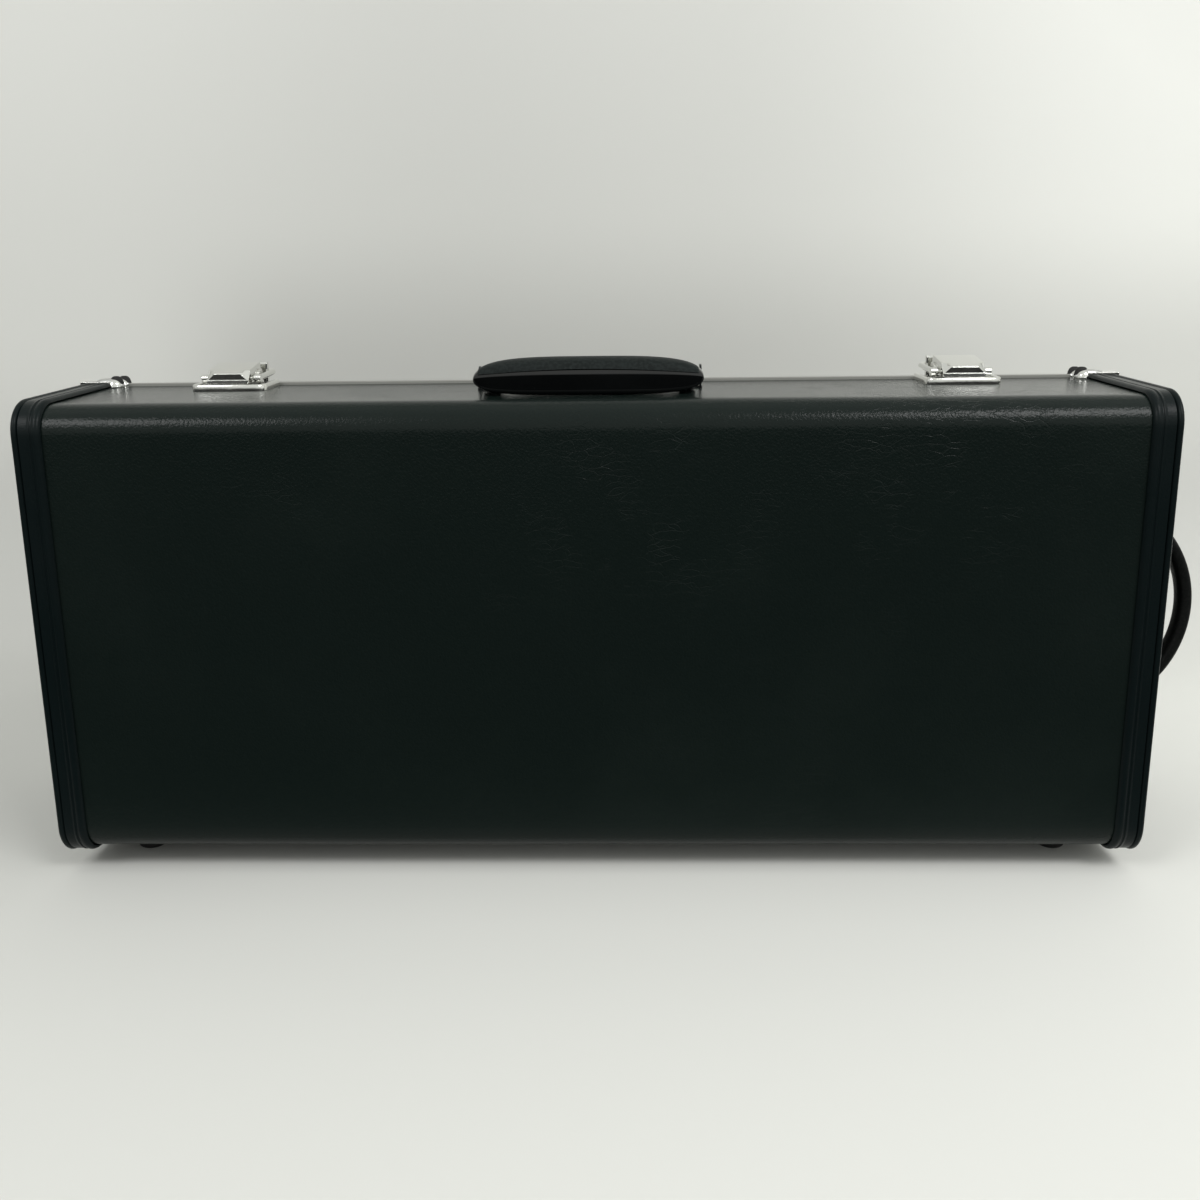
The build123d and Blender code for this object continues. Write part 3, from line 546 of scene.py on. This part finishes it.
handle_x = -0.002
grip_half = 0.0660
grip_half_width = 0.0120
grip_slope = -0.058
grip_end_out = {"top": 0.0092, "bottom": 0.0086}
grip_rise, grip_sag = 0.0112, 0.0084
widest_share = 0.41
pad_reach = 0.955
pad_proud = 0.0006
pad_line, pad_line_rise = 0.0120, 0.0031
pivot_slope = -0.027
pivot_out = 0.0085


def grip_heights(share):
    """Top and bottom of the grip above the case at a share of its half length."""
    high = grip_end_out["top"] + grip_rise * (1 - np.abs(share) ** 3.5) ** 0.4
    low = grip_end_out["bottom"] - grip_sag * np.sqrt(1 - np.abs(share) ** 5)
    return high, low


def grip_rings(share, grow=0.0):
    """Sections of the grip: widest a little below its middle, a rounded ellipse above that and squarer below."""
    high, low = grip_heights(share)
    width = grip_half_width * (0.5 + 0.5 * (1 - share ** 4) ** 0.5) + grow
    grow = np.broadcast_to(grow, share.shape)[:, None]
    cos, sin = power_ellipse(56, 2 / 2.8, 2 / 8.0)
    widest = (low + (high - low) * widest_share)[:, None]
    reach = np.where(sin > 0, high[:, None] - widest, widest - low[:, None]) + grow
    return grip_slope + width[:, None] * cos, widest + reach * sin


def make_grip():
    """The grip's glossy body, and over it the grained pad: the same sections a little larger, down to a line that
    rises towards the middle."""
    stations = np.sin(np.linspace(-1, 1, 81) * math.pi / 2)
    share = stations * 0.9985
    slope, out = grip_rings(share)
    body = on_top(handle_x + grip_half * share[:, None], slope, out)
    make_piece("grip_body", body, tube_faces(*slope.shape), "handle", gloss, "handle_body", sharp=60.0)
    share = stations * pad_reach
    slope, out = grip_rings(share, pad_proud * np.sqrt(1 - np.abs(share / (pad_reach + 0.001)) ** 6))
    line = pad_line + pad_line_rise * (1 - (share / pad_reach) ** 2)
    pad = on_top(handle_x + grip_half * share[:, None], slope, np.maximum(out, line[:, None]))
    make_piece("grip_pad", pad, tube_faces(*slope.shape), "handle", grained, "handle_pad", sharp=50.0)


arm_curve = np.array([(0.043, grip_slope), (0.056, grip_slope + 0.001), (0.0588, grip_slope + 0.010),
                      (0.0595, pivot_slope + 0.0045)])
arm_half_pivot, arm_half_grip = 0.0048, 0.0070
arm_above, arm_below, arm_drop = 0.0042, 0.0042, 0.0036


def make_arm(end):
    """A bar of rounded section along a cubic curve, from under the grip's end back to its pivot. It is widest under
    the grip, its last seventh ends round, and between them its underside reaches down to the case."""
    t = np.linspace(0, 1, 33)
    path = np.stack([(1 - t) ** 3, 3 * t * (1 - t) ** 2, 3 * t ** 2 * (1 - t), t ** 3], 1) @ arm_curve
    tangent = unit_tangent(path)
    cos, sin = power_ellipse(24, 2 / 3.5, 2 / 8.0)
    ending = np.sqrt(np.clip(1 - ((t - 0.86) / 0.14).clip(0, 0.999) ** 2, 0.02, 1))[:, None]
    half = (arm_half_pivot + (arm_half_grip - arm_half_pivot) * np.clip((0.68 - t) / 0.22, 0, 1))[:, None]
    across = end * (path[:, :1] + half * cos * tangent[:, 1:])
    slope = path[:, 1:] - half * cos * tangent[:, :1]
    drop = np.clip(t / 0.14, 0, 1) * np.clip((0.80 - t) / 0.18, 0, 1)
    under = (arm_below + arm_drop * (3 - 2 * drop) * drop ** 2)[:, None]
    out = pivot_out + np.where(sin > 0, arm_above, under) * sin * ending
    make_piece(f"grip_arm_{end_name[end]}", on_top(handle_x + across, slope, out), tube_faces(*out.shape),
               "handle", gloss, sharp=60.0)


make_grip()
for end in end_name:
    make_arm(end)


# Draw latches: the lever's stamping, a sloping rim round its tray, and the domes of the corner clips

latch_x = (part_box("latch_base_right")[0].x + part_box("latch_base_right")[1].x) / 2
lever_front = -0.031
lever_half = 0.0123
lever_foot = 0.0044
lever_sheet = 0.0009
tray_half, tray_corner = 0.02175, 0.005
tray_front, tray_back = -0.032, -0.0022
clip_slope = -0.0052


def lever_section(x):
    """Along a lever from under its free end over its top to under its back, for each place across it: how far from
    its front and how high. Two upright facets with a small ledge between, cut away at the corners, a sloping lip and
    a flat crown."""
    cut = np.clip((x - 0.0080) / 0.0038, 0, 1)
    facet = 0.0034 * (1 - cut)
    back = 0.0030 * cut
    along = np.broadcast_arrays(x, 0.0007, 0.0001, 0.0001, 0.0005, 0.0005 + 0.087 * facet, 0.0012 + back,
                                0.0042 + back * 0.4, 0.0060, 0.0110, 0.0240, 0.0256, 0.0260, 0.0260)
    high = np.broadcast_arrays(x, 0.0043, 0.0046, 0.0061, 0.0064, 0.0064 + facet, 0.0104 - 0.0012 * cut,
                               0.0114, 0.0117, 0.0124, 0.0143, 0.0144, 0.0136, lever_foot)
    return np.stack(along[1:], 1), np.stack(high[1:], 1)


def make_lever(side):
    """The lever's skin, side wall to side wall, thickened to its sheet."""
    across = np.concatenate([[-lever_half], np.linspace(-lever_half, lever_half, 37), [lever_half]])
    along, high = lever_section(np.abs(across))
    high[[0, -1]] = lever_foot
    top = on_top(side * latch_x + across[:, None], lever_front + along, high)
    mesh = bpy.data.meshes.new("skin")
    mesh.from_pydata(top.reshape(-1, 3), [], grid_faces(np.arange(high.size).reshape(high.shape)))
    skin = bpy.data.objects.new("skin", mesh)
    bpy.context.scene.collection.objects.link(skin)
    skin.modifiers.new("weld", "WELD").merge_threshold = 0.00002
    sheet = skin.modifiers.new("sheet", "SOLIDIFY")
    sheet.thickness, sheet.offset = lever_sheet, 0.0
    solid = bpy.data.meshes.new_from_object(skin.evaluated_get(bpy.context.evaluated_depsgraph_get()))
    bpy.data.objects.remove(skin)
    name = end_name[side]
    add_piece(f"latch_lever_skin_{name}", solid, f"lever_{name}", chrome, f"latch_lever_{name}", sharp=25.0)


def make_tray_rim(side):
    """A band that leans inwards round the tray's front and sides, rolled over at its top."""
    turn = np.linspace(0, math.pi / 2, 9)[::-1]
    left_x = np.concatenate([[-tray_half, -tray_half], -tray_half + tray_corner * (1 - np.sin(turn))])
    left_slope = np.concatenate([[tray_back, tray_back - 0.008], tray_front + tray_corner * (1 - np.cos(turn))])
    path = np.concatenate([np.stack([left_x, left_slope], 1), np.stack([-left_x, left_slope], 1)[::-1]])
    tangent = unit_tangent(path)
    outward = np.stack([tangent[:, 1], -tangent[:, 0]], 1)
    outset = np.array([0.0012, 0.00113, 0.00096, 0.00078, 0.0003, -0.0009, -0.0017, -0.0021, -0.0021])
    high = np.array([0.00005, 0.0008, 0.0026, 0.0034, 0.00385, 0.0040, 0.0037, 0.0030, 0.00005])
    place = path[:, None] + outward[:, None] * outset[None, :, None]
    ring = on_top(side * latch_x + place[..., 0], place[..., 1], high[None])
    make_piece(f"tray_rim_{end_name[side]}", ring, tube_faces(*ring.shape[:2]), "base", chrome, sharp=50.0)


def make_bulge(name, half, end, centre, reach, high, material):
    """An oval bulge on a corner clip, steep at its sides and flatter on top: shares of its reach and height."""
    spread = np.array([0.99, 1.0, 0.96, 0.88, 0.76, 0.58, 0.30, 0.0005])[:, None]
    height = np.array([0.14, 0.20, 0.36, 0.56, 0.76, 0.91, 0.99, 1.0])[:, None]
    across = end * (centre + reach[0] * spread * np.cos(circle(40)))
    slope = clip_slope + reach[1] * spread * np.sin(circle(40))
    points = on_top(across, slope, high * height)
    points[..., 1] *= -side_of[half]
    make_piece(f"{half}_{name}_{end_name[end]}", points, tube_faces(*points.shape[:2]), half, material, sharp=70.0)


for side in end_name:
    make_lever(side)
    make_tray_rim(side)
    for half in side_of:
        make_bulge("clip_stud", half, side, 0.3000, (0.0046, 0.0030), 0.0070, rubber)
        make_bulge("clip_bulge", half, side, 0.3050, (0.0098, 0.0049), 0.0056, steel)


# Side handle on the right-hand end

strap_z = mid_z + 0.0055
strap_y = -depth["base"] / 2
strap_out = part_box("side_handle")[1].x
strap_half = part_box("side_handle")[1].z - strap_z
arch_half = 0.058
tab_half_width, arch_half_width = 0.0085, 0.0055
tab_half_thick, arch_half_thick = 0.0015, 0.0040
strap_lift = 0.0016
arch_share, arch_steepness = 0.62, 24
tab_round, tab_end_share = 0.10, 0.08


def strap_path():
    """The strap's middle line in X and height: flat on the board, then round an arc, smoothed where they meet."""
    reach = strap_out - board_x - arch_half_thick - strap_lift
    radius = (arch_half ** 2 + reach ** 2) / (2 * reach)
    sweep = math.asin(arch_half / radius)
    angle = np.linspace(-sweep, sweep, 61)
    flat = np.linspace(strap_half - 0.0005, arch_half + 0.002, 14)
    on_board = np.full(14, board_x + strap_lift)
    arc_x = board_x + strap_lift + reach - radius * (1 - np.cos(angle))
    x = np.concatenate([on_board, arc_x, on_board])
    z = np.concatenate([-flat, radius * np.sin(angle), flat[::-1]])
    return smoothed(x, 12), strap_z + smoothed(z, 12)


def make_side_handle():
    """A strap whose section is a power ellipse, 17 by 3 mm on the board and 11 by 8 mm at the arch. It changes
    between them as a logistic curve of the place along the strap, and its ends are round."""
    x, z = strap_path()
    along = np.linspace(-1, 1, len(x))
    arch = 1 / (1 + np.exp((np.abs(along) - arch_share) * arch_steepness))
    tangent = unit_tangent(np.stack([x, z], 1))
    cos, sin = power_ellipse(28, 2 / 3.2)
    past = ((np.abs(along) - (1 - tab_round)) / tab_round).clip(0, 1)
    end_round = np.sqrt(np.clip(1 - past ** 2, tab_end_share, 1))
    width = ((tab_half_width + (arch_half_width - tab_half_width) * arch) * end_round)[:, None]
    thick = (tab_half_thick + (arch_half_thick - tab_half_thick) * arch)[:, None]
    ring_x = np.maximum(x[:, None] + thick * sin * tangent[:, 1:], board_x)
    ring_z = z[:, None] - thick * sin * tangent[:, :1]
    ring = np.stack([ring_x, strap_y + width * cos, ring_z], 2)
    make_piece("side_strap", ring, tube_faces(*ring_x.shape), "base", handle_leather, "side_handle", sharp=60.0)


make_side_handle()


# Plush: each padded block is remeshed from its solid and its edges are let round off

pad_voxel = 0.0035
pad_rounds = 6
padded_blocks = {"base": ("base_floor_pad", "bow_end_block", "hinge_side_bolster", "bell_side_bolster",
                          "bell_rim_block", "centre_divider", "body_end_block"),
                 "lid": ("lid_pad", "lid_bolsters")}


def make_pad(node, body):
    """A copy of a solid, joined, remeshed and smoothed, so that its edges are as round as stuffed cloth."""
    piece = nodes[node].copy()
    piece.data = nodes[node].data.copy()
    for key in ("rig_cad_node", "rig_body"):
        if key in piece:
            del piece[key]
    piece.name = f"{node}_plush"
    bpy.context.scene.collection.objects.link(piece)
    piece.modifiers.new("weld", "WELD").merge_threshold = 0.00001
    remesh = piece.modifiers.new("remesh", "REMESH")
    remesh.mode, remesh.voxel_size = "VOXEL", pad_voxel
    smooth = piece.modifiers.new("smooth", "SMOOTH")
    smooth.factor, smooth.iterations = 0.5, pad_rounds
    mesh = bpy.data.meshes.new_from_object(piece.evaluated_get(bpy.context.evaluated_depsgraph_get()))
    piece.modifiers.clear()
    piece.data = mesh
    mesh.polygons.foreach_set("use_smooth", np.ones(len(mesh.polygons), bool))
    mesh.materials.clear()
    mesh.materials.append(lining)
    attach(piece, body)
    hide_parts(node)


for body, blocks in padded_blocks.items():
    for node in blocks:
        make_pad(node, body)


# Stage and light

wall_y, wall_height, wall_bend = 0.62, 3.2, 0.25
stage_half, stage_front = 14.0, -14.0
paper_colour = (0.98, 0.98, 0.945, 1.0)
black = (0.0, 0.0, 0.0, 1.0)


def painted_backdrop_paper():
    """Paper with painted light and shade: paler to the right and up the wall, painted darker in the wall's middle and
    by the case's left end. The camera also sees painted shadow behind the case and low on the wall. To all other rays
    the floor in front of the case is painted nearly black, so that the case's face doesn't show it."""
    material, tree, surface = new_material("painted_backdrop_paper")
    x, y, z = add(tree, "ShaderNodeSeparateXYZ", {0: object_place(tree)}).outputs
    seen = add(tree, "ShaderNodeLightPath").outputs["Is Camera Ray"]
    # Painted light: the paper's colour is paler towards the right
    painted_light_to_right = ramp(tree, x, -0.9, 0.9)

    # Painted shadow of the case on the wall behind it, seen by the camera alone
    painted_shadow_behind_case = product(tree, seen, mix_value(tree, ramp(tree, z, 0.28, 0.47), 0.21, 0.0),
                          ramp(tree, x, -0.57, -0.35))
    # Painted shade low on the wall, seen by the camera alone
    painted_shade_low_wall = product(tree, seen, mix_value(tree, ramp(tree, z, 0.14, 0.28), 0.16, 0.0))
    # Painted shade low on the wall and in its middle, and painted light towards its sides
    painted_wall_light_and_shade = product(tree, mix_value(tree, ramp(tree, z, 0.1, 1.0), 0.72, 0.97),
                         mix_value(tree, ramp(tree, maths(tree, "ABSOLUTE", x), 0.1, 0.7), 0.91, 1.11),
                         mix_value(tree, painted_light_to_right, 1.0, 0.945),
                         one_minus(tree, painted_shadow_behind_case), one_minus(tree, painted_shade_low_wall))

    # Painted shadow on the floor and low wall by the case's left end
    painted_shadow_by_case = product(tree, ramp(tree, y, -0.3, 0.0), mix_value(tree, ramp(tree, x, -0.5, -0.1), 0.15, 0.0),
                     mix_value(tree, ramp(tree, z, 0.03, 0.35), 1.0, 0.0))
    # Painted shade: to all rays but the camera's, the floor in front of the case is nearly black
    painted_floor_shade_in_reflections = maths(tree, "MAXIMUM", seen, mix_value(tree, ramp(tree, y, -0.22, -0.10), 0.02, 1.0))
    pale = product(tree, mix_value(tree, ramp(tree, y, 0.2, wall_y), 0.715, painted_wall_light_and_shade),
                   one_minus(tree, painted_shadow_by_case), mix_value(tree, painted_light_to_right, 0.84, 1.13), painted_floor_shade_in_reflections)
    put_all(tree, surface, {"Base Color": mix_colour(tree, pale, black, paper_colour), "Roughness": 0.9,
                            "Specular IOR Level": 0.1})

    clear = add(tree, "ShaderNodeBsdfTransparent").outputs[0]
    behind = add(tree, "ShaderNodeNewGeometry").outputs["Backfacing"]
    both = add(tree, "ShaderNodeMixShader", {0: behind, 1: surface.outputs[0], 2: clear})
    put(tree, tree.nodes["Material Output"].inputs["Surface"], both.outputs[0])
    return material


def make_stage():
    """A floor profile carried along X: flat, a quarter circle, then a wall that is clear from behind."""
    turn = np.linspace(0, math.pi / 2, 24)
    y = np.concatenate([[stage_front], wall_y - wall_bend + wall_bend * np.sin(turn), [wall_y]])
    z = np.concatenate([[0.0], wall_bend - wall_bend * np.cos(turn), [wall_height]])
    ends = np.tile([-stage_half, stage_half], (len(y), 1))
    points = np.stack([ends, np.stack([y, y], 1), np.stack([z, z], 1)], 2)
    faces = np.arange(len(y) - 1)[:, None] * 2 + np.array([0, 1, 3, 2])
    mesh = bpy.data.meshes.new("backdrop")
    mesh.from_pydata(points.reshape(-1, 3), [], faces.tolist())
    mesh.polygons.foreach_set("use_smooth", np.ones(len(faces), bool))
    mesh.materials.append(painted_backdrop_paper())
    backdrop = bpy.data.objects.new("backdrop", mesh)
    bpy.context.scene.collection.objects.link(backdrop)


def make_light(name, place, aim, width, height, radiance):
    """An area light of a given brightness, turned towards a point."""
    data = bpy.data.lights.new(name, "AREA")
    data.shape = "RECTANGLE"
    data.size, data.size_y = width, height
    data.energy = radiance * width * height * math.pi
    light = bpy.data.objects.new(name, data)
    light.location = place
    light.rotation_euler = (Vector(aim) - Vector(place)).to_track_quat("-Z", "Y").to_euler()
    bpy.context.scene.collection.objects.link(light)


def make_world():
    """A white room for the object to reflect: bright from just above the horizon, dark below it, and a little
    brighter on the right. The camera sees plain paper."""
    horizon, clear_of_horizon = 0.02, 0.10
    dark, bright, brighter_right = 0.02, 0.95, 0.15
    world = bpy.data.worlds.new("room")
    bpy.context.scene.world = world
    world.use_nodes = True
    tree = world.node_tree
    direction = add(tree, "ShaderNodeTexCoord").outputs["Generated"]
    x, _, z = add(tree, "ShaderNodeSeparateXYZ", {0: direction}).outputs
    lit = maths(tree, "ADD", bright, product(tree, x, brighter_right))
    strength = mix_value(tree, ramp(tree, z, horizon, clear_of_horizon), dark, lit)
    room = mix_colour(tree, strength, black, (0.98, 1.0, 0.96, 1.0))
    room.node.clamp_factor = False
    seen = add(tree, "ShaderNodeLightPath").outputs["Is Camera Ray"]
    put(tree, tree.nodes["Background"].inputs["Color"], mix_colour(tree, seen, room, (0.70, 0.70, 0.67, 1.0)))


make_camera()
make_stage()
make_world()
make_light("right_softbox", (1.0, -1.2, 1.66), (0.15, 0, 0.2), 0.8, 0.6, 10.0)
make_light("left_softbox", (-1.2, -1.3, 1.5), (-0.1, 0, 0.2), 0.7, 0.6, 8.0)
view = bpy.context.scene.view_settings
view.view_transform = "Standard"
